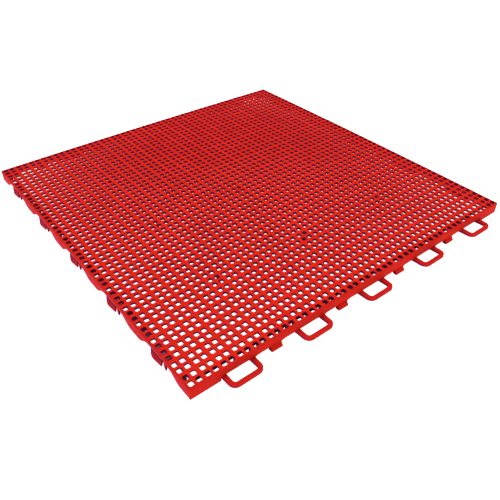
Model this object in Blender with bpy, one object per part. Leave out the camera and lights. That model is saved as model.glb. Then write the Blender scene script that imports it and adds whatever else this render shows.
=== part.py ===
"""Perforated interlocking floor tile, used edge to edge as an anti fatigue mat.

A square tile stands on a skirt, on legs and on small feet.  Its top is a net of square
holes in groups of two by two.  Two neighbouring edges carry flat loops just above the
floor, and the other two carry snap tongues that drop into the loops of the next tile.
World origin: centre of the square tile, on the floor.  +Z is up.
"""
import math

import bmesh
import bpy
from mathutils import Matrix, Vector

MM = 0.001

# Whole tile
SIDE = 377.0 * MM
HEIGHT = 13.7 * MM
GROUPS = 26
PITCH = SIDE / GROUPS
GAP = 0.3 * MM

# Net: two crossing ladders of bars leave the square holes
HOLE = 4.4 * MM
HOLE_OFFSET = 3.375 * MM
LAYER = 0.7 * MM

# Skirt around the tile
WALL = 1.66 * MM
SKIRT_TOP = HEIGHT - 2.0 * LAYER - 2.0 * GAP
LOOP_EDGE_Z = 4.2 * MM
CORNER_FOOT = 27.0 * MM
ARCH_Z = 7.9 * MM
ARCH_HALF = 14.0 * MM
RAMP_END = 30.25 * MM

# Fasteners sit every five groups along an edge, and the tabs midway between them
STATION = 5.0 * PITCH
LOOP_STATIONS = [k * STATION for k in (-2, -1, 0, 1, 2)]
TAB_STATIONS = [k * STATION - 1.2 * MM for k in (-1.5, -0.5, 0.5, 1.5)]

# Loop: a flat ring with a rounded outer bar
LOOP_WIDTH = 30.5 * MM
LOOP_REACH = 13.1 * MM
LOOP_ROOT = 3.0 * MM
WINDOW_WIDTH = 22.7 * MM
WINDOW_REACH = 9.4 * MM
LOOP_LOW = 0.8 * MM
LOOP_HIGH = 3.8 * MM
LOOP_CORNER = 6.0 * MM
WINDOW_CORNER = 2.5 * MM
LOOP_FILLET = (3.9 * MM, 2.2 * MM)

# Tab: a wedge foot that sticks out below the skirt
TAB_WIDTH = 11.0 * MM
TAB_REACH = 2.6 * MM
TAB_LOW = 0.5 * MM
TAB_FILLET = (4.6 * MM, 2.8 * MM)

# Snap hook: a barbed tongue, a slit and a thin fixed prong
TONGUE_FROM = -9.6 * MM
TONGUE_TO = 5.8 * MM
TONGUE_WALL = 1.7 * MM
TONGUE_LOW = 0.5 * MM
BARB = 1.6 * MM
PRONG_FROM = 9.2 * MM
PRONG_TO = 11.3 * MM
PRONG_LOW = 0.6 * MM
SLIT_Z = 9.2 * MM

# Stiffening ribs just inside the skirt, and the legs under the net
RIB_NEAR = 6.5 * MM
RIB_FAR = 8.0 * MM
RIB_HALF_LENGTH = 179.9 * MM
TOOTH = 1.6 * MM
HOOK_RIB_LOW = 8.2 * MM
LEG_RADIUS = 2.5 * MM
LEG_STEP = 7.0 * PITCH
ARC_STEPS = 6

FRONT = 0.0
RIGHT = math.radians(90.0)
BACK = math.radians(180.0)
LEFT = math.radians(270.0)
RED = (0.76, 0.012, 0.010, 1.0)


def material(name):
    """Return the tile's red semi-gloss plastic under the piece's own name."""
    made = bpy.data.materials.new(name)
    made.use_nodes = True
    shader = made.node_tree.nodes["Principled BSDF"]
    shader.inputs["Base Color"].default_value = RED
    shader.inputs["Roughness"].default_value = 0.38
    shader.inputs["Metallic"].default_value = 0.0
    return made


def side_frame(angle):
    """Frame of one edge: X runs along the edge, -Y points out of the tile, Z is up."""
    return Matrix.Rotation(angle, 4, "Z") @ Matrix.Translation((0.0, -SIDE / 2.0, 0.0))


def outline_part(name, outlines, thickness, place, home):
    """Flat piece: a 2D curve filled on both sides, as thick as stated."""
    curve = bpy.data.curves.new(name, "CURVE")
    curve.dimensions = "2D"
    curve.fill_mode = "BOTH"
    curve.extrude = thickness / 2.0
    for outline in outlines:
        spline = curve.splines.new("POLY")
        spline.points.add(len(outline) - 1)
        for point, (across, up) in zip(spline.points, outline):
            point.co = (across, up, 0.0, 1.0)
        spline.use_cyclic_u = True
    piece = bpy.data.objects.new(name, curve)
    curve.materials.append(material(name))
    home.objects.link(piece)
    piece.matrix_world = place
    return piece


def rectangle(left, low, right, high):
    """Corners of an upright rectangle."""
    return [(left, low), (right, low), (right, high), (left, high)]


def rounded(corners, radii):
    """Outline with each corner replaced by an arc of its own radius, 0 for a sharp one."""
    points = []
    count = len(corners)
    for index, radius in enumerate(radii):
        corner = Vector(corners[index])
        if radius == 0.0:
            points.append(tuple(corner))
            continue
        before = (Vector(corners[index - 1]) - corner).normalized()
        after = (Vector(corners[(index + 1) % count]) - corner).normalized()
        for step in range(ARC_STEPS + 1):
            turn = math.radians(90.0) * step / ARC_STEPS
            reach = after * (1.0 - math.cos(turn)) + before * (1.0 - math.sin(turn))
            points.append(tuple(corner + reach * radius))
    return points


def hole_ranges():
    """Start and end of each row of holes, in order across the tile."""
    ranges = []
    for group in range(GROUPS):
        centre = (group + 0.5 - GROUPS / 2.0) * PITCH
        for offset in (-HOLE_OFFSET, HOLE_OFFSET):
            ranges.append((centre + offset - HOLE / 2.0, centre + offset + HOLE / 2.0))
    return ranges


def box_mesh(name, boxes):
    """Mesh of separate boxes, each given by its middle and its size."""
    mesh = bpy.data.meshes.new(name)
    shape = bmesh.new()
    for middle, size in boxes:
        place = Matrix.Translation(middle) @ Matrix.Diagonal((*size, 1.0))
        bmesh.ops.create_cube(shape, size=1.0, matrix=place)
    shape.to_mesh(mesh)
    shape.free()
    return mesh


def build_ladder(name, height, slots, home, cutters):
    """Square plate one layer thick with a row of slots cut through it."""
    plate_mesh = box_mesh(name, [((0.0, 0.0, 0.0), (SIDE, SIDE, LAYER))])
    plate_mesh.materials.append(material(name))
    plate = bpy.data.objects.new(name, plate_mesh)
    home.objects.link(plate)
    cutter = bpy.data.objects.new(name + "_slots", box_mesh(name + "_slots", slots))
    cutters.objects.link(cutter)
    cutter.hide_render = True
    cutter.display_type = "WIRE"
    plate.location = (0.0, 0.0, height)
    cutter.location = (0.0, 0.0, height)
    cut = plate.modifiers.new("slots", "BOOLEAN")
    cut.operation = "DIFFERENCE"
    cut.object = cutter


def build_net(home, cutters):
    """Two ladders, one over the other: the upper bars run along X, the lower along Y."""
    ranges = hole_ranges()
    reach = ranges[-1][1] - ranges[0][0]
    middles = [(start + end) / 2.0 for start, end in ranges]
    deep = 3.0 * LAYER
    rows = [((0.0, middle, 0.0), (reach, HOLE, deep)) for middle in middles]
    columns = [((middle, 0.0, 0.0), (HOLE, reach, deep)) for middle in middles]
    build_ladder("net_upper_bars", HEIGHT - LAYER / 2.0, rows, home, cutters)
    build_ladder("net_lower_bars", HEIGHT - GAP - 1.5 * LAYER, columns, home, cutters)


def quarter(start, width, height):
    """Concave quarter round that rises from a low point at start to the skirt's edge."""
    points = [(start, LOOP_EDGE_Z)]
    for step in range(ARC_STEPS + 1):
        turn = math.radians(90.0) * step / ARC_STEPS
        points.append((start + width * (1.0 - math.cos(turn)),
                       LOOP_EDGE_Z - height * (1.0 - math.sin(turn))))
    return points


def loop_skirt_edge(half):
    """Lower edge of a skirt that carries loops, from one corner foot to the other."""
    foot = SIDE / 2.0 - CORNER_FOOT
    edge = [(-half, 0.0), (-foot, 0.0), (-foot, LOOP_EDGE_Z)]
    fillets = [(u + LOOP_WIDTH / 2.0 + GAP, LOOP_FILLET[0], LOOP_FILLET[1])
               for u in LOOP_STATIONS[:-1]]
    fillets += [(u + TAB_WIDTH / 2.0 + GAP, *TAB_FILLET) for u in TAB_STATIONS]
    for start, width, height in sorted(fillets):
        edge += quarter(start, width, height)
    return edge + [(foot, LOOP_EDGE_Z), (foot, 0.0), (half, 0.0)]


def hook_skirt_edge(half):
    """Lower edge of a skirt that carries hooks: an arch over each hook, with a notch above
    the slit beside its tongue, and feet between."""
    edge = [(-half, 0.0)]
    for station in LOOP_STATIONS:
        for step in range(ARC_STEPS + 1):
            part = step / ARC_STEPS
            rise = ARCH_Z * (1.0 - math.cos(math.pi * part)) / 2.0
            edge.append((station - RAMP_END + (RAMP_END - ARCH_HALF) * part, rise))
        near = station + TONGUE_TO + GAP
        far = station + PRONG_FROM - GAP
        edge += [(near, ARCH_Z), (near, SLIT_Z), (far, SLIT_Z), (far, ARCH_Z)]
        for step in range(ARC_STEPS + 1):
            part = step / ARC_STEPS
            fall = ARCH_Z * (1.0 + math.cos(math.pi * part)) / 2.0
            edge.append((station + ARCH_HALF + (RAMP_END - ARCH_HALF) * part, fall))
    return edge + [(half, 0.0)]


def build_skirt(name, angle, half, edge, home):
    """Upright wall under the border of the net."""
    place = side_frame(angle) @ Matrix.Translation((0.0, WALL / 2.0, 0.0))
    place = place @ Matrix.Rotation(math.radians(90.0), 4, "X")
    outline_part(name, [edge + [(half, SKIRT_TOP), (-half, SKIRT_TOP)]], WALL, place, home)


def build_loop(name, angle, station, home):
    """Flat ring whose root bar lies under the skirt and whose window stands outside."""
    wide = LOOP_WIDTH / 2.0
    window = WINDOW_WIDTH / 2.0
    outer = rounded(rectangle(-wide, -LOOP_REACH, wide, LOOP_ROOT),
                    [LOOP_CORNER, LOOP_CORNER, 0.0, 0.0])
    inner = rounded(rectangle(-window, -WINDOW_REACH, window, 0.0), [WINDOW_CORNER] * 4)
    level = Matrix.Translation((station, 0.0, (LOOP_LOW + LOOP_HIGH) / 2.0))
    outline_part(name, [outer, inner], LOOP_HIGH - LOOP_LOW, side_frame(angle) @ level, home)


def section_frame(angle, station, inward, height):
    """Frame of a cross-section: X points out of the tile, Y is up, Z runs along the edge."""
    axes = Matrix(((0.0, 0.0, -1.0, 0.0), (-1.0, 0.0, 0.0, 0.0),
                   (0.0, 1.0, 0.0, 0.0), (0.0, 0.0, 0.0, 1.0)))
    return side_frame(angle) @ Matrix.Translation((station, inward, height)) @ axes


def build_tab(name, angle, station, home):
    """Wedge foot: flush with the skirt at its top and sticking out near the floor."""
    top = LOOP_EDGE_Z - GAP
    wedge = [(-WALL, TAB_LOW), (TAB_REACH, TAB_LOW), (TAB_REACH, 1.6 * MM),
             (0.0, top), (-WALL, top)]
    outline_part(name, [wedge], TAB_WIDTH, section_frame(angle, station, 0.0, 0.0), home)


def build_tongue(name, angle, station, home):
    """Barbed tongue that flexes inward about the round root at its top, its own origin."""
    radius = TONGUE_WALL / 2.0
    axis_z = ARCH_Z - GAP - radius
    low = TONGUE_LOW - axis_z
    section = [(-radius, low), (radius + 1.3 * MM, low), (radius + BARB, low + 0.7 * MM),
               (radius + BARB, low + 1.3 * MM), (radius, low + 3.6 * MM)]
    for step in range(2 * ARC_STEPS + 1):
        turn = math.pi * step / (2 * ARC_STEPS)
        section.append((radius * math.cos(turn), radius * math.sin(turn)))
    middle = station + (TONGUE_FROM + TONGUE_TO) / 2.0
    place = section_frame(angle, middle, radius, axis_z)
    outline_part(name, [section], TONGUE_TO - TONGUE_FROM, place, home)


def build_prong(name, angle, station, home):
    """Thin fixed prong beside the slit, cut to a point on its outer side."""
    top = ARCH_Z - GAP
    blade = [(-WALL, PRONG_LOW + 1.5 * MM), (0.0, PRONG_LOW), (0.0, top), (-WALL, top)]
    middle = station + (PRONG_FROM + PRONG_TO) / 2.0
    place = section_frame(angle, middle, 0.0, 0.0)
    outline_part(name, [blade], PRONG_TO - PRONG_FROM, place, home)


def build_rib(name, angle, low, home):
    """Comb behind the skirt: a long rib with a short tooth to the skirt at each main bar."""
    near = WALL + GAP
    comb = [(-RIB_HALF_LENGTH, RIB_NEAR)]
    for count in range(1 - GROUPS // 2, GROUPS // 2):
        middle = count * PITCH
        left = middle - TOOTH / 2.0
        right = middle + TOOTH / 2.0
        comb += [(left, RIB_NEAR), (left, near), (right, near), (right, RIB_NEAR)]
    comb += [(RIB_HALF_LENGTH, RIB_NEAR), (RIB_HALF_LENGTH, RIB_FAR),
             (-RIB_HALF_LENGTH, RIB_FAR)]
    level = Matrix.Translation((0.0, 0.0, (low + SKIRT_TOP) / 2.0))
    outline_part(name, [comb], SKIRT_TOP - low, side_frame(angle) @ level, home)


def build_leg(name, across, along, home):
    """Round leg under a crossing of main bars."""
    mesh = bpy.data.meshes.new(name)
    shape = bmesh.new()
    bmesh.ops.create_cone(shape, cap_ends=True, segments=16, radius1=LEG_RADIUS,
                          radius2=LEG_RADIUS, depth=SKIRT_TOP)
    shape.to_mesh(mesh)
    shape.free()
    mesh.materials.append(material(name))
    leg = bpy.data.objects.new(name, mesh)
    leg.location = (across, along, SKIRT_TOP / 2.0)
    home.objects.link(leg)


def main():
    """Clear the scene and build every piece of the tile."""
    for old in list(bpy.data.objects):
        bpy.data.objects.remove(old, do_unlink=True)
    home = bpy.data.collections.new("anti_fatigue_floor_tile")
    bpy.context.scene.collection.children.link(home)
    cutters = bpy.data.collections.new("cutters")
    bpy.context.scene.collection.children.link(cutters)
    build_net(home, cutters)
    full = SIDE / 2.0
    short = full - WALL - GAP
    build_skirt("skirt_front", FRONT, full, loop_skirt_edge(full), home)
    build_skirt("skirt_right", RIGHT, short, loop_skirt_edge(short), home)
    build_skirt("skirt_back", BACK, full, hook_skirt_edge(full), home)
    build_skirt("skirt_left", LEFT, short, hook_skirt_edge(short), home)
    for side, angle in (("front", FRONT), ("right", RIGHT)):
        for index, station in enumerate(LOOP_STATIONS, 1):
            build_loop(f"loop_{side}_{index}", angle, station, home)
        for index, station in enumerate(TAB_STATIONS, 1):
            build_tab(f"tab_{side}_{index}", angle, station, home)
        build_rib(f"rib_{side}", angle, LOOP_EDGE_Z, home)
    for side, angle in (("back", BACK), ("left", LEFT)):
        for index, station in enumerate(LOOP_STATIONS, 1):
            build_tongue(f"tongue_{side}_{index}", angle, station, home)
            build_prong(f"prong_{side}_{index}", angle, station, home)
        build_rib(f"rib_{side}", angle, HOOK_RIB_LOW, home)
    for row, along in enumerate((-LEG_STEP, 0.0, LEG_STEP), 1):
        for column, across in enumerate((-LEG_STEP, 0.0, LEG_STEP), 1):
            build_leg(f"leg_{row}_{column}", across, along, home)


main()
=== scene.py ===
"""Looks of the perforated interlocking floor tile: moulded surfaces, red plastic, studio."""
import math

import bpy
import numpy as np
from mathutils import Matrix, Vector


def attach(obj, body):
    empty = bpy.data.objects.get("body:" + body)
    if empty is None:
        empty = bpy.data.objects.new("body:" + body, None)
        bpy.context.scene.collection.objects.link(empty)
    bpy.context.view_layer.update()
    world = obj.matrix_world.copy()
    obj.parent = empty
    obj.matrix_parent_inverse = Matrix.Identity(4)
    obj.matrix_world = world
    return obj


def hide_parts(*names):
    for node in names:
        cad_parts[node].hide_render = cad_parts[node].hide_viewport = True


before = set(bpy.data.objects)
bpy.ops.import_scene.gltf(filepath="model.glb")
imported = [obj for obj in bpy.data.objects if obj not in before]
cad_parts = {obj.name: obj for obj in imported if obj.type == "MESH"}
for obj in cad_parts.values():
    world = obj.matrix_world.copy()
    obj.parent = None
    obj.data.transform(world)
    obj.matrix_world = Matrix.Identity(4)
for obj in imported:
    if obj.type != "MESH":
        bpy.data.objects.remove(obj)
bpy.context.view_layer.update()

MM = 0.001

# Tile
# Places along an edge are measured from its middle, in the edge's own direction.
SIDE = 377.0 * MM
HALF = SIDE / 2.0
HEIGHT = 13.7 * MM
GROUPS = 26
PITCH = SIDE / GROUPS
CROWN = 0.0299
STATION = 5.0 * PITCH
LOOP_STATIONS = [k * STATION for k in (-2, -1, 0, 1, 2)]
TAB_SHIFT = -1.2 * MM
TAB_STATIONS = [k * STATION + TAB_SHIFT for k in (-1.5, -0.5, 0.5, 1.5)]
SIDES = ("front", "right", "back", "left")
LOOP_SIDES = SIDES[:2]
HOOK_SIDES = SIDES[2:]
SHARP = math.radians(40.0)

# Net
HOLE_OFFSET = 3.375 * MM
HOLE_HALF = 2.35 * MM
HOLE_BEVEL = 0.15 * MM
HOLE_CORNER = 0.95 * MM
NET_MIDDLE = 2.85 * MM
NET_CORNER = 1.1 * MM
RIM = 1.2 * MM
RING = 12
# Painted shade of each cell's five rings, from the top down: none on top and chamfer, more
# down the hole's wall, most at its foot, half on the underside.
HOLE_PAINTED_SHADES = (0.0, 0.0, 0.55, 1.0, 0.5)

# Skirt
WALL = 1.5 * MM
EDGE = 0.35 * MM
LEDGE = 0.5 * MM
LAP = 0.05 * MM
STEP = 0.02 * MM
LOOP_EDGE_Z = 4.2 * MM
FOOT_Z = 0.4 * MM
CORNER_FOOT = 27.0 * MM
ARCH_Z = 7.9 * MM
ARCH_HALF = 14.0 * MM
RAMP_END = 30.25 * MM
HOOK_FOOT = 6.0 * MM

# Loops and tabs
LOOP_WIDTH = 30.5 * MM
LOOP_REACH = 13.1 * MM
LOOP_ROOT = 4.6 * MM
WINDOW_WIDTH = 22.7 * MM
WINDOW_REACH = 9.4 * MM
WINDOW_ROOT = 3.0 * MM
LOOP_ROUND = 6.0 * MM
WINDOW_ROUND = 2.4 * MM
ROOT_ROUND = 0.8 * MM
LOOP_SOFT = 0.4 * MM
LOOP_LOW = 0.8 * MM
LOOP_HIGH = 3.8 * MM
ARM_LOW = 0.1 * MM
ARM_SLOPE = 1.5 * MM
TAB_WIDTH = 11.0 * MM
TAB_REACH = 2.6 * MM
TAB_LOW = 0.5 * MM
TAB_NOSE = 1.5 * MM
TAB_SOFT = 0.3 * MM
TAB_INSET = 0.2 * MM

# Hooks
TONGUE_FROM = -9.6 * MM
TONGUE_TO = 5.8 * MM
TONGUE_RADIUS = 0.85 * MM
TONGUE_AXIS_Z = 6.75 * MM
TONGUE_LOW = 0.5 * MM
TONGUE_DROP = 3.4 * MM
TONGUE_BACK_Z = 5.3 * MM
SWELL = 0.34
BARB = 1.6 * MM
BARB_LOSS = 0.60
LEAN = 0.10
PRONG_FROM = 9.2 * MM
PRONG_TO = 11.3 * MM
PRONG_LOW = 0.6 * MM
PRONG_SOFT = 0.2 * MM
SLIT_Z = 9.2 * MM

# Ribs and legs
RIB_END = 8.6 * MM
RIB_NEAR = -8.0 * MM
RIB_FAR = -6.5 * MM
RIB_TOP = 10.4 * MM
RIB_LOW = 7.6 * MM
LOOP_TOOTH_LOW = 5.2 * MM
HOOK_TOOTH_LOW = 3.6 * MM
TOOTH_HALF = 0.75 * MM
SHELF_FROM = -8.0 * MM
SHELF_TO = 10.4 * MM
SHELF_LOW = 8.4 * MM
LEG_STEP = 7.0 * PITCH
LEG_FACET = 18
LEG_PROFILE = np.array([(2.2, 0.0), (2.5, 0.3), (2.5, 0.9), (1.7, 2.0), (1.5, 5.0),
                        (1.5, 10.6)]) * MM

# Camera
LENS = 39.556
HEADING = math.radians(38.5725)
TILT = math.radians(38.4092)
ROLL = math.radians(0.2617)
CAMERA_PLACE = (-0.30347, -0.39906, 0.32223)


# ---------------------------------------------------------------- surfaces

def top_of(x, y):
    """Height of the walking surface: HEIGHT - CROWN (x^2 + y^2), a very shallow dome."""
    return HEIGHT - CROWN * (x * x + y * y)


def depth_of(x, y):
    """Thickness of the net, thinning towards the corners."""
    share = ((x * x + y * y) / (2.0 * HALF * HALF)) ** 1.5
    return NET_MIDDLE - (NET_MIDDLE - NET_CORNER) * share


def at_side(side, u, v, z):
    """World points of an edge's own frame: u runs along the edge, v out of the tile."""
    turn = SIDES.index(side)
    x, y = ((u, -HALF - v), (HALF + v, u), (-u, HALF + v), (-HALF - v, -u))[turn]
    return np.stack(np.broadcast_arrays(x, y, z), axis=-1)


def band(rows, cols, wrap_rows=False, wrap_cols=True):
    """Quads over a rows by cols grid of points, joined round where a direction wraps."""
    row = np.arange(rows if wrap_rows else rows - 1)[:, None]
    col = np.arange(cols if wrap_cols else cols - 1)[None, :]
    below = (row + 1) % rows
    beside = (col + 1) % cols
    corners = (row * cols + col, row * cols + beside, below * cols + beside,
               below * cols + col)
    return np.stack(np.broadcast_arrays(*corners), axis=-1).reshape(-1, 4)


def volume(points, faces):
    """Signed volume inside the faces, each fanned into triangles from its first corner."""
    total = 0.0
    for group in faces:
        first = points[group[:, 0]]
        for step in range(1, group.shape[1] - 1):
            second = points[group[:, step]]
            third = points[group[:, step + 1]]
            total += np.einsum("ij,ij->i", first, np.cross(second, third)).sum()
    return total / 6.0


def add_piece(name, points, faces, body, nodes, material, shade=0.0):
    """Put points and groups of faces into a mesh that faces outwards and rides on a body.
    Points less than a twentieth of a micron apart are joined.  The shade values are painted
    shade for the material, from 0 for none outside to 1 deep inside the tile."""
    shade = np.broadcast_to(shade, points.shape[:-1]).reshape(-1)
    points = np.ascontiguousarray(points.reshape(-1, 3), dtype=np.float64)
    keys = np.round(points * 2.0e7).astype(np.int64)
    _, first, back = np.unique(keys, axis=0, return_index=True, return_inverse=True)
    points = points[first]
    shade = shade[first]
    faces = [back.reshape(-1)[group] for group in faces]
    if volume(points, faces) < 0.0:
        faces = [group[:, ::-1] for group in faces]
    mesh = bpy.data.meshes.new(name)
    loops = np.concatenate([group.ravel() for group in faces]).astype(np.int32)
    totals = np.concatenate([np.full(len(group), group.shape[1]) for group in faces])
    starts = np.concatenate([[0], np.cumsum(totals)[:-1]])
    mesh.vertices.add(len(points))
    mesh.vertices.foreach_set("co", points.astype(np.float32).ravel())
    mesh.loops.add(len(loops))
    mesh.loops.foreach_set("vertex_index", loops)
    mesh.polygons.add(len(totals))
    mesh.polygons.foreach_set("loop_start", starts.astype(np.int32))
    mesh.polygons.foreach_set("loop_total", totals.astype(np.int32))
    mesh.update(calc_edges=True)
    mesh.validate()
    mesh.shade_smooth()
    mesh.attributes.new("shade", "FLOAT", "POINT").data.foreach_set(
        "value", shade.astype(np.float32))
    mesh.set_sharp_from_angle(angle=SHARP)
    mesh.materials.append(material)
    piece = bpy.data.objects.new(name, mesh)
    bpy.context.scene.collection.objects.link(piece)
    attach(piece, body)
    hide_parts(*nodes)
    return piece


def loft(sections):
    """Closed skin over a row of closed sections, with a flat cap at each end."""
    rows, cols = sections.shape[:2]
    ends = np.stack([np.arange(cols)[::-1], (rows - 1) * cols + np.arange(cols)])
    return [band(rows, cols), ends]


def arc(centre, start, end, radius, count=3):
    """Points round a centre between two angles in degrees, count steps apart."""
    turn = np.radians(np.linspace(start, end, count + 1))
    return np.stack([centre[0] + radius * np.cos(turn),
                     centre[1] + radius * np.sin(turn)], axis=-1)


# ---------------------------------------------------------------- materials

class Value:
    """A shader number: operators on it add Math nodes to its tree."""

    def __init__(self, paint, socket):
        self.paint = paint
        self.socket = socket

    def _math(self, operation, first, second):
        return self.paint.node("ShaderNodeMath", {"operation": operation},
                               {0: first, 1: second})

    def __add__(self, other):
        return self._math("ADD", self, other)

    def __radd__(self, other):
        return self._math("ADD", other, self)

    def __mul__(self, other):
        return self._math("MULTIPLY", self, other)

    def __rmul__(self, other):
        return self._math("MULTIPLY", other, self)

    def __sub__(self, other):
        return self._math("SUBTRACT", self, other)

    def __rsub__(self, other):
        return self._math("SUBTRACT", other, self)


class Paint:
    """One node material: node() adds any node and returns its first output as a Value."""

    def __init__(self, name):
        self.material = bpy.data.materials.new(name)
        self.material.use_nodes = True
        self.tree = self.material.node_tree
        self.shader = self.tree.nodes["Principled BSDF"]
        self.place = self.node("ShaderNodeTexCoord", {}, {}, output="Object")

    def node(self, kind, settings, inputs, output=0):
        made = self.tree.nodes.new(kind)
        for key, value in settings.items():
            if key == "stops":
                ramp = made.color_ramp.elements
                while len(ramp) < len(value):
                    ramp.new(0.5)
                for element, (position, colour) in zip(ramp, value):
                    element.position = position
                    element.color = colour
            else:
                setattr(made, key, value)
        for key, value in inputs.items():
            if isinstance(value, Value):
                self.tree.links.new(value.socket, made.inputs[key])
            else:
                made.inputs[key].default_value = value
        return Value(self, made.outputs[output])

    def blend(self, factor, first, second):
        """Colour mixed from first to second by a factor."""
        return self.node("ShaderNodeMix", {"data_type": "RGBA"},
                         {"Factor": factor, 6: first, 7: second}, output=2)

    def feed(self, socket, value):
        """Link a Value to a socket of the shader, or set a plain number there."""
        if isinstance(value, Value):
            self.tree.links.new(value.socket, self.shader.inputs[socket])
        else:
            self.shader.inputs[socket].default_value = value


def noise(paint, scale, detail):
    """Soft noise from 0 to 1 on the object's own coordinates."""
    return paint.node("ShaderNodeTexNoise", {},
                      {"Vector": paint.place, "Scale": scale, "Detail": detail,
                       "Roughness": 0.55})


def tile_plastic(name, deep, bright, inner, roughness, grain, specular):
    """Red polypropylene: faint flow clouding between a deep and a bright red, with a fine
    moulded grain and a soft sheen.  The mesh's painted shade values blend it into the inner
    colour, which is painted shade."""
    paint = Paint(name)
    cloud = noise(paint, 38.0, 3.0)
    speck = noise(paint, 900.0, 2.0)
    stops = [(0.25, (*deep, 1.0)), (0.75, (*bright, 1.0))]
    colour = paint.node("ShaderNodeValToRGB", {"stops": stops},
                        {"Fac": cloud * 0.75 + speck * 0.25})
    # Painted shade: the mesh's painted shade values blend the red into the dark inner colour.
    shade = paint.node("ShaderNodeAttribute", {"attribute_name": "shade"}, {}, output="Fac")
    paint.feed("Base Color", paint.blend(shade, colour, (*inner, 1.0)))
    paint.feed("Roughness", roughness + cloud * 0.10)
    paint.feed("Specular IOR Level", specular)
    fine = noise(paint, 2600.0, 2.0)
    wave = noise(paint, 120.0, 1.0)
    bump = paint.node("ShaderNodeBump", {}, {"Strength": 0.25, "Distance": 0.08 * MM,
                                             "Height": fine * grain + wave})
    paint.feed("Normal", bump)
    return paint.material


# ---------------------------------------------------------------- pieces

def hole_lines():
    """Middles of the 52 rows of holes, and the 53 cell lines between and outside them."""
    groups = (np.arange(GROUPS) + 0.5 - GROUPS / 2.0) * PITCH
    middles = np.stack([groups - HOLE_OFFSET, groups + HOLE_OFFSET], axis=-1).ravel()
    lines = (np.arange(2 * GROUPS + 1) / 2.0 - GROUPS / 2.0) * PITCH
    lines[0] = -HALF + RIM
    lines[-1] = HALF - RIM
    return middles, lines


def hole_ring(half, corner):
    """Twelve points round a square of the given half side whose corners are rounded."""
    flat = half - corner
    bend = flat + corner * math.sqrt(0.5)
    quarter = np.array([(half, -flat), (half, flat), (bend, bend)])
    turn = np.array([(0.0, 1.0), (-1.0, 0.0)])
    rings = [quarter]
    for _ in range(3):
        rings.append(rings[-1] @ turn)
    return np.concatenate(rings)


def build_net(name, columns, nodes, material):
    """Part of the net.  Each cell is five rings of twelve points: the cell's outline, the
    hole's chamfer, its upright wall down to the underside, and the cell's outline again.
    Side_x and side_y say on which side of its cell each outline point lies, where 0 takes
    the place of the hole's own point; upright walls close the four ends of the part."""
    middles, lines = hole_lines()
    index = np.arange(2 * GROUPS)[columns]
    mid_x, mid_y = np.meshgrid(middles[index], middles, indexing="ij")
    low_x, low_y = np.meshgrid(lines[index], lines[:-1], indexing="ij")
    high_x, high_y = np.meshgrid(lines[index + 1], lines[1:], indexing="ij")
    wall = hole_ring(HOLE_HALF - HOLE_BEVEL, HOLE_CORNER)
    lip = hole_ring(HOLE_HALF, HOLE_CORNER + HOLE_BEVEL)
    side_x = np.array([1, 1, 1, 0, 0, -1, -1, -1, -1, 0, 0, 1])
    side_y = np.array([0, 0, 1, 1, 1, 1, 0, 0, -1, -1, -1, -1])
    cell_x = np.where(side_x == 0, mid_x[..., None] + wall[:, 0],
                      np.where(side_x > 0, high_x[..., None], low_x[..., None]))
    cell_y = np.where(side_y == 0, mid_y[..., None] + wall[:, 1],
                      np.where(side_y > 0, high_y[..., None], low_y[..., None]))
    outline = (cell_x, cell_y)
    mouth = (mid_x[..., None] + lip[:, 0], mid_y[..., None] + lip[:, 1])
    throat = (mid_x[..., None] + wall[:, 0], mid_y[..., None] + wall[:, 1])
    rings = []
    for shape, drop in ((outline, 0.0), (mouth, 0.0), (throat, HOLE_BEVEL),
                        (throat, depth_of(*throat)), (outline, depth_of(*outline))):
        rings.append(np.stack([*shape, top_of(*shape) - drop], axis=-1))
    points = np.stack(rings, axis=2)
    # Painted shade per ring: darker down each hole's wall and on the underside.
    shade = np.broadcast_to(np.array(HOLE_PAINTED_SHADES)[:, None], points.shape[:-1])
    across, along, levels = points.shape[:3]
    start = (np.arange(across * along) * levels * RING).reshape(across, along)
    faces = (start.reshape(-1, 1, 1) + band(levels, RING)[None]).reshape(-1, 4)
    under = (levels - 1) * RING
    walls = []
    for cells, segments in ((start[0], (5, 6, 7)), (start[-1], (11, 0, 1)),
                            (start[:, 0], (8, 9, 10)), (start[:, -1], (2, 3, 4))):
        for here in segments:
            after = (here + 1) % RING
            corners = np.array([after, here, under + here, under + after])
            walls.append(cells.reshape(-1, 1) + corners[None])
    return add_piece(name, points, [faces, np.concatenate(walls)], "tile", nodes, material,
                     shade)


def skirt_section(side, u, low):
    """Wall sections along an edge: rounded outer and lower edges, and a top that follows
    the walking surface."""
    u = u[:, None]
    low = low[:, None]
    ends = [arc((-EDGE, -EDGE), 90.0, 0.0, EDGE), arc((-EDGE, EDGE), 0.0, -90.0, EDGE),
            arc((-WALL + EDGE, EDGE), -90.0, -180.0, EDGE)]
    top = top_of(u, HALF)
    v = np.concatenate([ends[0][:, 0], ends[1][:, 0], ends[2][:, 0], [-WALL, -RIM]])
    z = np.concatenate([top + ends[0][:, 1], low + ends[1][:, 1], low + ends[2][:, 1],
                        np.broadcast_to(top - LEDGE, u.shape),
                        top_of(u, HALF - RIM)], axis=1)
    return at_side(side, u, v[None], z)


def lower_edge(pairs):
    """Places and heights, as two arrays, from a list of pairs put in order along the edge."""
    ordered = np.array(sorted(pairs))
    return ordered[:, 0], ordered[:, 1]


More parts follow.
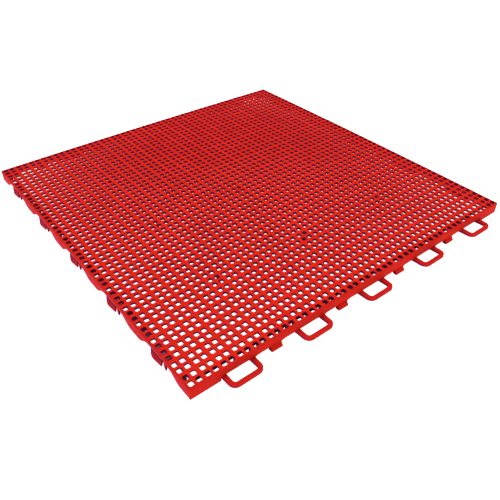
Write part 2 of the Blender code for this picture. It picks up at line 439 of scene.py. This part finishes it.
def loop_edge():
    """Lower edge of a loop skirt: feet at the corners, and beyond each loop and tab a round
    that rises along a quarter ellipse."""
    foot = HALF - CORNER_FOOT
    pairs = [(-HALF, 0.0), (-foot, 0.0), (-foot + STEP, LOOP_EDGE_Z),
             (foot - STEP, LOOP_EDGE_Z), (foot, 0.0), (HALF, 0.0)]
    rounds = [(station + LOOP_WIDTH / 2.0 - 0.3 * MM, 4.2 * MM, 2.2 * MM)
              for station in LOOP_STATIONS[:-1]]
    rounds += [(station + TAB_WIDTH / 2.0 - 0.1 * MM, 4.7 * MM, 2.8 * MM)
               for station in TAB_STATIONS]
    for start, width, drop in rounds:
        part = 1.0 - np.cos(np.linspace(0.0, math.pi / 2.0, 9))
        rise = drop * (1.0 - np.sqrt(1.0 - (1.0 - part) ** 2))
        pairs.append((start - STEP, LOOP_EDGE_Z))
        pairs += list(zip(start + width * part, LOOP_EDGE_Z - rise))
    for place in np.linspace(-foot + 2.0 * MM, foot - 2.0 * MM, 60):
        if not any(start - 1.0 * MM < place < start + width + 0.5 * MM
                   for start, width, _ in rounds):
            pairs.append((place, LOOP_EDGE_Z))
    for place in np.linspace(HALF - 24.0 * MM, HALF - 3.0 * MM, 5):
        pairs += [(place, 0.0), (-place, 0.0)]
    return lower_edge(pairs)


def hook_edge():
    """Lower edge of a hook skirt: cosine ramps from the feet up to an arch over each hook,
    with a notch above the slit that frees the tongue's end."""
    pairs = [(-HALF, FOOT_Z), (HALF, FOOT_Z), (-HALF + HOOK_FOOT, FOOT_Z),
             (HALF - HOOK_FOOT, FOOT_Z)]
    for station in LOOP_STATIONS:
        for part in np.linspace(0.0, 1.0, 13):
            rise = FOOT_Z + (ARCH_Z - FOOT_Z) * (1.0 - math.cos(math.pi * part)) / 2.0
            along = RAMP_END + (ARCH_HALF - RAMP_END) * part
            pairs += [(station - along, rise), (station + along, rise)]
        notch_from = station + TONGUE_TO + 0.3 * MM
        notch_to = station + PRONG_FROM - 0.3 * MM
        pairs += [(notch_from, ARCH_Z), (notch_from + 0.2 * MM, SLIT_Z),
                  (notch_to, SLIT_Z), (notch_to + STEP, ARCH_Z)]
    return lower_edge(pairs)


def build_skirt(side, edge, material):
    """Upright wall along one edge of the tile.  The right and left walls end just inside
    the front and back ones; on all of them painted shade darkens the inner face only."""
    u, low = edge
    if side in ("right", "left"):
        end = HALF - WALL + LAP
        u = np.clip(u, -end, end)
    sections = skirt_section(side, u, low)
    shade = np.zeros(sections.shape[:2])
    # Painted shade on the inner face, away from the end caps.
    shade[1:-1, 9:-1] = 0.9
    return add_piece(f"skirt_{side}_wall", sections, loft(sections), "tile",
                     [f"skirt_{side}"], material, shade)


def loop_outline(wide, root, reach, near, far):
    """Rounded rectangle in (u, v), seven points a corner, with the near radius at the
    skirt and the far one at the loop's end."""
    corners = [arc((wide - far, reach - far), 90.0, 0.0, far, 6),
               arc((wide - near, -root + near), 0.0, -90.0, near, 6),
               arc((-wide + near, -root + near), -90.0, -180.0, near, 6),
               arc((-wide + far, reach - far), 180.0, 90.0, far, 6)]
    return np.concatenate(corners)


def build_loop(side, number, station, material):
    """Flat ring: each section runs from the window's outline to the loop's outline, and the
    underside slopes down to the floor along the arms, towards the skirt."""
    outer = loop_outline(LOOP_WIDTH / 2.0, LOOP_ROOT, LOOP_REACH, ROOT_ROUND, LOOP_ROUND)
    inner = loop_outline(WINDOW_WIDTH / 2.0, WINDOW_ROOT, WINDOW_REACH, ROOT_ROUND,
                         WINDOW_ROUND)
    soft = LOOP_SOFT
    high = LOOP_HIGH - LOOP_LOW
    width = LOOP_REACH - WINDOW_REACH
    ring = np.concatenate([arc((width - soft, soft), -90.0, 0.0, soft),
                           arc((width - soft, high - soft), 0.0, 90.0, soft),
                           arc((soft, high - soft), 90.0, 180.0, soft),
                           arc((soft, soft), 180.0, 270.0, soft)])
    share = ring[:, 0] / width
    across = inner[:, None] + (outer - inner)[:, None] * share[None, :, None]
    under = (1.0 - ring[:, 1] / high)[None]
    slope = np.clip(1.0 - across[..., 1] / (WINDOW_REACH + ARM_SLOPE), 0.0, 1.0)
    z = LOOP_LOW + ring[:, 1][None] - (LOOP_LOW - ARM_LOW) * slope * under
    # Painted shade: the lower sides and underside are darkened, more towards the skirt, none
    # on top.
    shade_near_skirt = np.clip(1.0 - across[..., 1] / LOOP_REACH, 0.0, 1.0)
    shade = np.clip(1.6 * under, 0.0, 1.0) * (0.30 + 0.65 * shade_near_skirt)
    points = at_side(side, station + across[..., 0], across[..., 1], z)
    faces = [band(len(outer), len(ring), wrap_rows=True)]
    node = f"loop_{side}_{number}"
    return add_piece(node + "_ring", points, faces, "tile", [node], material, shade)


def build_tab(side, number, station, material):
    """Wedge foot that stands out below the skirt, with every edge slightly rounded."""
    half = TAB_WIDTH / 2.0
    bend = TAB_REACH - TAB_SOFT
    top = LOOP_EDGE_Z + 0.1 * MM
    section = np.concatenate([
        [(-WALL, TAB_LOW)], arc((bend, TAB_LOW + TAB_SOFT), -90.0, 0.0, TAB_SOFT),
        arc((bend, TAB_NOSE - TAB_SOFT), 0.0, 50.0, TAB_SOFT),
        [(0.5 * TAB_REACH, 0.5 * (TAB_NOSE + top) + 0.1 * MM), (0.02 * MM, top),
         (-WALL, top)]])
    u = np.array([-half, -half + TAB_INSET, 0.0, half - TAB_INSET, half])
    inset = np.array([1.0, 0.0, 0.0, 0.0, 1.0]) * TAB_INSET
    v = np.minimum(section[None, :, 0], TAB_REACH - inset[:, None])
    z = np.maximum(section[None, :, 1], TAB_LOW + inset[:, None])
    points = at_side(side, (station + u)[:, None], v, z)
    node = f"tab_{side}_{number}"
    return add_piece(node + "_foot", points, loft(points), "tile", [node], material)


def build_tongue(side, number, station, material):
    """Snap tongue: a wall hung from a round root, with a barb on its outer face.  Over the
    first third of its length the barb swells along a quarter circle, sqrt(1 - (1 - s)^2),
    and the lower edge drops with it; the barb then thins evenly to the far end, which leans
    towards the slit.  Each section starts at the inner face and goes round by the barb."""
    part = (1.0 - np.cos(np.linspace(0.0, math.pi, 21))) / 2.0
    u = TONGUE_FROM + (TONGUE_TO - TONGUE_FROM) * part
    swell = np.sqrt(1.0 - (1.0 - np.clip(part / SWELL, 0.0, 1.0)) ** 2)
    fade = np.clip((part - SWELL) / (1.0 - SWELL), 0.0, 1.0)[:, None]
    barb = BARB * swell[:, None] * (1.0 - BARB_LOSS * fade)
    low = TONGUE_LOW + TONGUE_DROP * (1.0 - swell[:, None]) ** 1.5
    root = arc((-TONGUE_RADIUS, TONGUE_AXIS_Z), 0.0, 180.0, TONGUE_RADIUS, 8)
    root = np.broadcast_to(root, (len(u), *root.shape))
    inner = np.broadcast_to(np.array([-2.0 * TONGUE_RADIUS, -0.35 * MM, -0.05 * MM]),
                            (len(u), 3))
    v = np.concatenate([inner, barb * np.array([0.55, 0.9, 1.0, 0.95, 0.3, 0.0]),
                        root[..., 0]], axis=1)
    rise = np.array([0.3, 0.0, 0.0, 0.25, 0.8, 1.2, 2.7, 3.2]) * MM
    z = np.concatenate([np.full_like(low, TONGUE_BACK_Z), low + rise, root[..., 1]], axis=1)
    lean = LEAN * (TONGUE_AXIS_Z - z) * fade ** 2
    points = at_side(side, (station + u)[:, None] - lean, v, z)
    # Painted shade: darker higher up under the arch, dark on the inner face and at both ends.
    shade = np.clip((z - 3.4 * MM) / (3.0 * MM), 0.0, 0.8)
    shade = np.where(v < -0.3 * MM, 0.8, shade)
    shade[[0, -1]] = 0.7
    node = f"tongue_{side}_{number}"
    return add_piece(node + "_snap", points, loft(points), f"latch_{side}_{number}", [node],
                     material, shade)


def build_prong(side, number, station, material):
    """Thin blade that hangs beside the slit; its lower end is cut to a point whose tip is at
    the outer face and past the middle of its width."""
    part = np.array([0.0, 0.06, 0.35, 0.7, 0.94, 1.0])
    u = PRONG_FROM + (PRONG_TO - PRONG_FROM) * part
    low = PRONG_LOW + np.array([2.6, 2.0, 0.8, 0.1, 0.0, 0.2]) * MM
    v = np.array([-WALL, -PRONG_SOFT, 0.0, 0.0, -WALL])
    rise = np.array([1.5 * MM, 0.0, PRONG_SOFT])
    top = np.full((len(u), 2), ARCH_Z - 0.25 * MM)
    z = np.concatenate([low[:, None] + rise, top], axis=1)
    points = at_side(side, (station + u)[:, None], v, z)
    # Painted shade: dark on the inner side and the far end, faint on the outer face.
    shade = np.tile(np.where(v < -PRONG_SOFT, 0.8, 0.1), (len(u), 1))
    shade[-1] = 0.7
    node = f"prong_{side}_{number}"
    return add_piece(node + "_blade", points, loft(points), "tile", [node], material, shade)


def build_rib(side, material):
    """Comb of stiffening ribs behind the skirt: one long bar, teeth at the bars of the net
    with gaps beside each fastener and at the corners, and on hook sides a shelf over each
    tongue.  Away counts the net's bars from a tooth to the nearest station."""
    hooked = side in HOOK_SIDES
    low = HOOK_TOOTH_LOW if hooked else LOOP_TOOTH_LOW
    left_out = (0, 1, 2, 5) if hooked else (1, 5)
    boxes = [(-HALF + RIB_END, HALF - RIB_END, RIB_NEAR, RIB_FAR, RIB_LOW)]
    for count in range(2 - GROUPS, GROUPS - 1):
        middle = count * PITCH / 2.0
        away = min(abs(count - 10 * index) for index in (-2, -1, 0, 1, 2))
        outer = abs(count) > 20
        if away not in left_out and not (outer and (away == 3 or not hooked)):
            boxes.append((middle - TOOTH_HALF, middle + TOOTH_HALF, RIB_FAR - 0.1 * MM,
                          -WALL + 0.2 * MM, low))
    if hooked:
        boxes += [(station + SHELF_FROM, station + SHELF_TO, RIB_FAR, -WALL + 0.1 * MM,
                   SHELF_LOW) for station in LOOP_STATIONS]
    points = []
    faces = []
    for left, right, near, far, base in boxes:
        corner = np.array([(left, near), (right, near), (right, far), (left, far)])
        both = np.concatenate([corner, corner])
        first = len(points) * len(both)
        faces += [first + band(2, 4), first + np.array([[3, 2, 1, 0], [4, 5, 6, 7]])]
        points.append(at_side(side, both[:, 0], both[:, 1], np.repeat([base, RIB_TOP], 4)))
    # Painted shade: the whole comb takes the material's inner colour.
    return add_piece(f"rib_{side}_comb", np.array(points), faces, "tile", [f"rib_{side}"],
                     material, 1.0)


def build_leg(row, column, material):
    """Turned leg: a narrow stem that flares to a round foot, as (radius, height) pairs."""
    turn = np.radians(np.arange(0, 360, LEG_FACET))
    radius, height = LEG_PROFILE[:, :1], LEG_PROFILE[:, 1:]
    x = (column - 2) * LEG_STEP + radius * np.cos(turn)
    y = (row - 2) * LEG_STEP + radius * np.sin(turn)
    points = np.stack(np.broadcast_arrays(x, y, height), axis=-1)
    node = f"leg_{row}_{column}"
    # Painted shade: the whole leg takes the material's dark inner colour.
    return add_piece(node + "_turned", points, loft(points), "tile", [node], material, 1.0)


# ---------------------------------------------------------------- studio

def build_floor():
    """Plain white floor that also glows a little, so its light reaches under the tile."""
    mesh = bpy.data.meshes.new("floor")
    mesh.from_pydata([(-6, -6, 0), (6, -6, 0), (6, 6, 0), (-6, 6, 0)], [], [(0, 1, 2, 3)])
    floor = bpy.data.objects.new("floor", mesh)
    bpy.context.scene.collection.objects.link(floor)
    material = bpy.data.materials.new("white_floor")
    material.use_nodes = True
    shader = material.node_tree.nodes["Principled BSDF"]
    shader.inputs["Base Color"].default_value = (0.93, 0.93, 0.94, 1.0)
    shader.inputs["Roughness"].default_value = 0.9
    shader.inputs["Specular IOR Level"].default_value = 0.0
    shader.inputs["Emission Color"].default_value = (1.0, 1.0, 1.0, 1.0)
    shader.inputs["Emission Strength"].default_value = 0.55
    mesh.materials.append(material)


def area_light(name, place, size, power, colour):
    """Square soft light aimed at the middle of the tile's base."""
    data = bpy.data.lights.new(name, "AREA")
    data.shape = "SQUARE"
    data.size = size
    data.energy = power
    data.color = colour
    light = bpy.data.objects.new(name, data)
    light.location = place
    light.rotation_euler = (-Vector(place)).to_track_quat("-Z", "Y").to_euler()
    bpy.context.scene.collection.objects.link(light)


def build_light():
    """Soft white dome that dims towards the horizon, a warm key overhead, a low yellowish
    fill from the front and a low blue fill from the left."""
    world = bpy.data.worlds.new("studio")
    world.use_nodes = True
    tree = world.node_tree
    ground = tree.nodes["Background"]
    ground.inputs["Strength"].default_value = 0.85
    place = tree.nodes.new("ShaderNodeTexCoord")
    split = tree.nodes.new("ShaderNodeSeparateXYZ")
    ramp = tree.nodes.new("ShaderNodeValToRGB")
    ramp.color_ramp.elements[0].position = 0.35
    ramp.color_ramp.elements[0].color = (0.25, 0.25, 0.25, 1.0)
    ramp.color_ramp.elements[1].position = 0.80
    ramp.color_ramp.elements[1].color = (1.0, 1.0, 1.0, 1.0)
    tree.links.new(place.outputs["Generated"], split.inputs[0])
    tree.links.new(split.outputs["Z"], ramp.inputs["Fac"])
    tree.links.new(ramp.outputs["Color"], ground.inputs["Color"])
    bpy.context.scene.world = world
    area_light("key", (0.25, 0.15, 1.5), 1.2, 9.0, (1.0, 0.97, 0.92))
    area_light("warm_fill", (0.48, -2.4, 0.56), 1.3, 11.5, (0.8, 0.9, 0.10))
    area_light("cool_fill", (-2.4, -0.32, 0.48), 1.3, 45.0, (0.15, 0.05, 1.0))


def build_camera():
    """Camera above the front left corner, looking down across the tile.  Heading is
    measured from +Y towards +X, tilt below the horizon."""
    data = bpy.data.cameras.new("camera")
    data.sensor_width = 36.0
    data.lens = LENS
    camera = bpy.data.objects.new("camera", data)
    aim = Vector((math.sin(HEADING) * math.cos(TILT), math.cos(HEADING) * math.cos(TILT),
                  -math.sin(TILT)))
    turn = aim.to_track_quat("-Z", "Y").to_matrix() @ Matrix.Rotation(ROLL, 3, "Z")
    camera.matrix_world = Matrix.Translation(CAMERA_PLACE) @ turn.to_4x4()
    bpy.context.scene.collection.objects.link(camera)
    bpy.context.scene.camera = camera


# ---------------------------------------------------------------- assembly

def main():
    """Build every piece, the studio and the camera."""
    # Each inner colour below is painted shade, blended in by the painted shade values.  The
    # deck takes the plastic's own red, with a bluish dark inner colour for painted shade in
    # the holes.
    deck = tile_plastic("deck_red_plastic", (0.52, 0.024, 0.008), (0.62, 0.034, 0.013),
                        (0.052, 0.042, 0.120), 0.42, 0.6, 0.06)
    # The wall copy is the same plastic painted a darker red than the deck: painted shade on
    # the upright faces, loops, tabs, hooks and legs, with a dark inner colour for more
    # painted shade.
    wall = tile_plastic("shaded_wall_red_plastic", (0.44, 0.024, 0.015), (0.51, 0.032, 0.022),
                        (0.045, 0.022, 0.050), 0.50, 0.4, 0.03)
    # The inside copy is a dull pinkish red that the ribs take in full: painted shade for the
    # ribs under the net.
    shaded_inside = tile_plastic("shaded_inside_red_plastic", (0.24, 0.060, 0.100), (0.30, 0.075, 0.125),
                          (0.25, 0.065, 0.110), 0.50, 0.4, 0.03)
    build_net("net_left_half", slice(0, GROUPS), ["net_upper_bars"], deck)
    build_net("net_right_half", slice(GROUPS, 2 * GROUPS), ["net_lower_bars"], deck)
    for side in LOOP_SIDES:
        build_skirt(side, loop_edge(), wall)
    for side in HOOK_SIDES:
        build_skirt(side, hook_edge(), wall)
    for side in LOOP_SIDES:
        for number, station in enumerate(LOOP_STATIONS, 1):
            build_loop(side, number, station, wall)
        for number, station in enumerate(TAB_STATIONS, 1):
            build_tab(side, number, station, wall)
        build_rib(side, shaded_inside)
    for side in HOOK_SIDES:
        for number, station in enumerate(LOOP_STATIONS, 1):
            build_tongue(side, number, station, wall)
            build_prong(side, number, station, wall)
        build_rib(side, shaded_inside)
    for row in (1, 2, 3):
        for column in (1, 2, 3):
            build_leg(row, column, wall)
    build_floor()
    build_light()
    build_camera()
    bpy.context.scene.view_settings.view_transform = "Standard"
    bpy.context.scene.view_settings.look = "High Contrast"


main()
